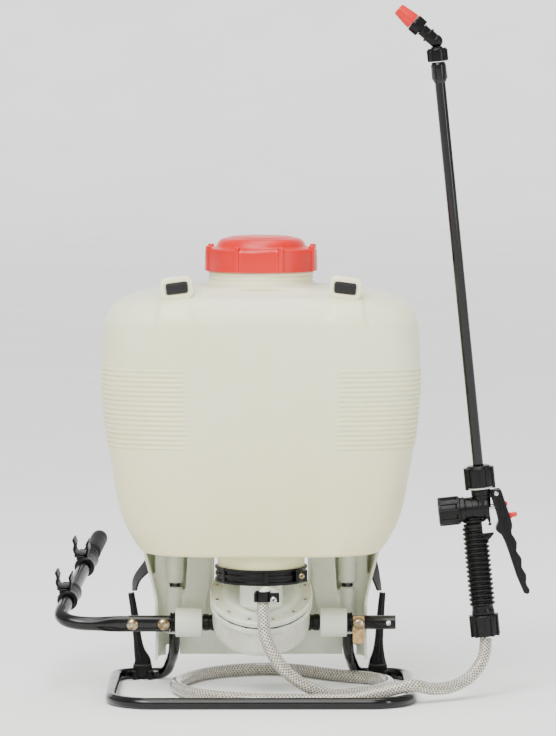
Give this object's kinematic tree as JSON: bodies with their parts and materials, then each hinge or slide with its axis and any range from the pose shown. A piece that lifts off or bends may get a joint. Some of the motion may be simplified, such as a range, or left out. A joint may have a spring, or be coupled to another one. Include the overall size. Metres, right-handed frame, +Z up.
{
  "type": "backpack sprayer",
  "caption": "Backpack sprayer: milky moulded tank with red screw cap on a bent tube frame, diaphragm pump with a side lever, and a trigger handset with long wand on a clear hose.",
  "frame": {"origin": "middle of the front floor rail's underside, on the ground", "axes": "+Z up; +Y from the tank's front face towards the wearer's back; +X to the right of the tank as seen from its front"},
  "size_m": [0.5363, 0.4076, 0.7746],
  "materials": {
    "tank_plastic": "satin, milky",
    "pump_plastic": "satin, milky",
    "red_plastic": "semi-gloss",
    "black_plastic": "moulded satin",
    "black_paint": "gloss powder coat",
    "rubber": "matt",
    "steel": "bright",
    "zinc": "yellow zinc plated",
    "pale_seal": "matt",
    "hose_vinyl": "clear, braided",
    "webbing": "woven",
    "pad_cloth": "woven, padded"
  },
  "bodies": {
    "sprayer": {"base_frame": "black_paint", "base_skirt": "pump_plastic", "clamp_screw": "zinc", "diaphragm": "rubber", "drain_plug_left": "black_plastic", "drain_plug_right": "black_plastic", "grip": "black_plastic", "hose": "hose_vinyl", "hose_clip": "zinc", "hose_clip_screw": "zinc", "hose_nut": "black_plastic", "inline_filter": "pale_seal", "inner_bush_left": "black_plastic", "inner_bush_right": "black_plastic", "outer_bush_left": "black_plastic", "outer_bush_right": "black_plastic", "outlet_clamp_ring": "black_plastic", "pump_cover": "pump_plastic", "pump_housing": "pump_plastic", "shoulder_strap_left": "pad_cloth", "shoulder_strap_right": "pad_cloth", "strap_adjuster_left": "black_plastic", "strap_adjuster_right": "black_plastic", "strap_anchor_left": "black_plastic", "strap_anchor_right": "black_plastic", "strap_hook_left": "black_plastic", "strap_hook_right": "black_plastic", "strap_webbing_left": "webbing", "strap_webbing_right": "webbing", "tank_shell": "tank_plastic", "trigger_pin": "steel", "valve_body": "black_plastic", "valve_cap": "black_plastic", "valve_spring": "steel", "wand_nut": "black_plastic", "wand_seal": "pale_seal", "wand_tube": "black_paint"},
    "lever": {"pump_shaft": "black_paint", "lever_arm": "black_paint", "lever_grip": "rubber", "lever_bolt_outer": "zinc", "lever_bolt_inner": "zinc", "wand_clip_lower": "black_plastic", "wand_clip_upper": "black_plastic", "stop_bracket": "zinc", "stop_bracket_bolt": "zinc"},
    "pump_rod": {"con_rod": "black_plastic", "diaphragm_plate": "steel"},
    "cap_seal": {"cap_gasket": "rubber"},
    "cap": {"filler_cap": "red_plastic"},
    "strainer": {"strainer_basket": "black_plastic"},
    "inlet_flap": {"inlet_valve": "rubber"},
    "outlet_ball": {"outlet_valve": "steel"},
    "trigger_lever": {"trigger": "black_plastic"},
    "stem": {"valve_stem": "steel"},
    "lock_catch": {"trigger_lock": "red_plastic"},
    "elbow_joint": {"elbow": "black_plastic", "elbow_nut": "black_plastic", "nozzle_nut": "black_plastic"},
    "nozzle_tip": {"nozzle": "red_plastic"}
  },
  "joints": [
    {"name": "pump_lever", "type": "hinge", "parent": "sprayer", "child": "lever", "pos_m": [0, 0.1215, 0.0793], "axis": [1, 0, 0], "range_deg": [0, 40]},
    {"name": "pump_rod_slide", "type": "slide", "parent": "sprayer", "child": "pump_rod", "axis": [0, -0.5, 0.866], "range_m": [0, 0.0083], "deforming": ["diaphragm"]},
    {"name": "cap_lift", "type": "slide", "parent": "sprayer", "child": "cap_seal", "axis": [0, 0, 1], "range_m": [0, 0.15]},
    {"name": "cap_turn", "type": "hinge", "parent": "cap_seal", "child": "cap", "pos_m": [0, 0.11, 0.49], "axis": [0, 0, 1], "continuous": true},
    {"name": "strainer_lift", "type": "slide", "parent": "sprayer", "child": "strainer", "axis": [0, 0, 1], "range_m": [0, 0.075]},
    {"name": "inlet_valve_lift", "type": "slide", "parent": "sprayer", "child": "inlet_flap", "axis": [0, 0, -1], "range_m": [0, 0.0015], "stiffness_N_per_m": 50, "springref_m": -0.0005},
    {"name": "outlet_valve_lift", "type": "slide", "parent": "sprayer", "child": "outlet_ball", "axis": [0, 0, 1], "range_m": [0, 0.001]},
    {"name": "trigger_squeeze", "type": "hinge", "parent": "sprayer", "child": "trigger_lever", "pos_m": [0.26262, 0.08, 0.23113], "axis": [0, 1, 0], "range_deg": [0, 12], "stiffness_Nm_per_rad": 0.5, "springref_deg": -11.46},
    {"name": "valve_stem_slide", "type": "slide", "parent": "sprayer", "child": "stem", "axis": [-0.9948, 0, -0.1019], "range_m": [0, 0.0032], "deforming": ["valve_spring"]},
    {"name": "trigger_lock_turn", "type": "hinge", "parent": "trigger_lever", "child": "lock_catch", "pos_m": [0.2734, 0.08, 0.20197], "axis": [0, 1, 0], "range_deg": [0, 6]},
    {"name": "elbow_swivel", "type": "hinge", "parent": "sprayer", "child": "elbow_joint", "pos_m": [0.19481, 0.08, 0.72871], "axis": [-0.1019, 0, 0.9948], "continuous": true},
    {"name": "nozzle_turn", "type": "hinge", "parent": "elbow_joint", "child": "nozzle_tip", "pos_m": [0.19424, 0.08, 0.73418], "axis": [-0.7547, 0, 0.6561], "range_deg": [0, 360]}
  ],
  "couplings": [
    {"joint": "pump_rod_slide", "follows": "pump_lever", "m_per_rad": 0.01176},
    {"joint": "strainer_lift", "follows": "cap_lift", "ratio": 0.5},
    {"joint": "valve_stem_slide", "follows": "trigger_squeeze", "m_per_rad": 0.0151}
  ]
}
